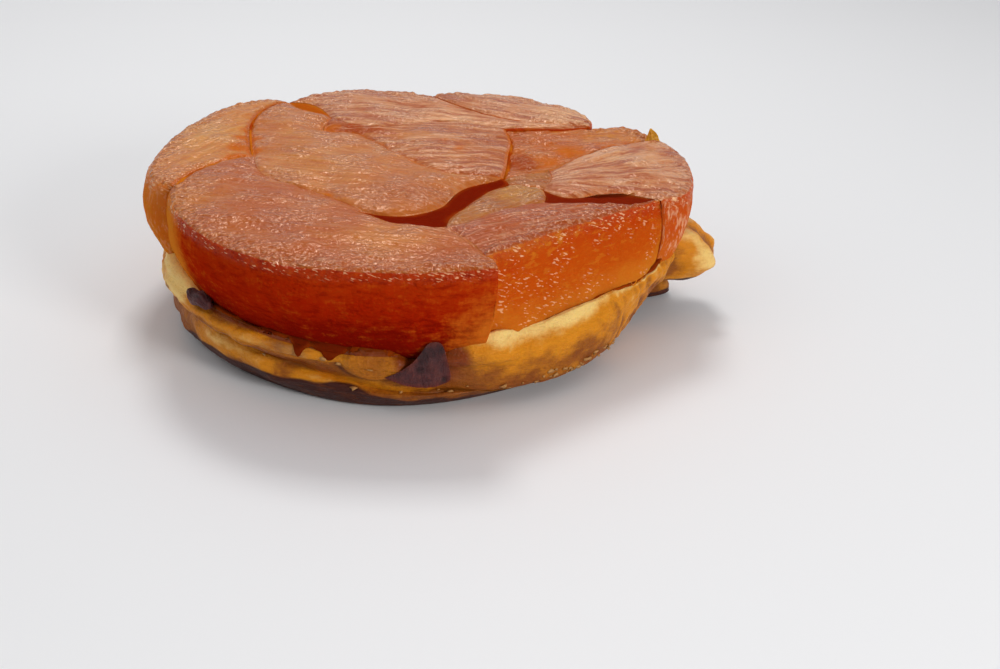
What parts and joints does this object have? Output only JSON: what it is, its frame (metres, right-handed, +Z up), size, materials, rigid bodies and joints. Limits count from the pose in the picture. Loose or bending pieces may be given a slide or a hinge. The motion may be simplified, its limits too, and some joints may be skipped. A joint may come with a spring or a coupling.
{
  "type": "tarte tatin",
  "caption": "Individual upside-down apple tart: glossy caramelised apple slices packed flat on a thin folded pastry base with a rolled edge and a pinched flap.",
  "frame": {"origin": "middle of the flat underside of the pastry, on the surface the tart stands on", "axes": "+Z up, +X towards the pinched flap of pastry, -Y towards the side with the two long outer slices"},
  "size_m": [0.1313, 0.1215, 0.0359],
  "materials": {
    "apple": "caramelised, translucent amber under a sticky gloss",
    "caramel": "clear dark-red syrup, wet",
    "pastry": "baked, golden to brown, satin where the caramel has soaked in",
    "peel": "cooked apple peel, dark and wet"
  },
  "bodies": {
    "root": {"apple_front_left": "apple", "apple_left": "apple", "apple_centre": "apple", "apple_middle": "apple", "apple_back": "apple", "apple_far_right": "apple", "apple_sunken": "apple", "apple_fan": "apple", "apple_front_right": "apple", "apple_sliver": "apple", "apple_chip": "apple", "caramel_front": "caramel", "caramel_right": "caramel", "caramel_back": "caramel", "pastry": "pastry", "peel_front": "peel", "peel_left": "peel"}
  },
  "joints": []
}
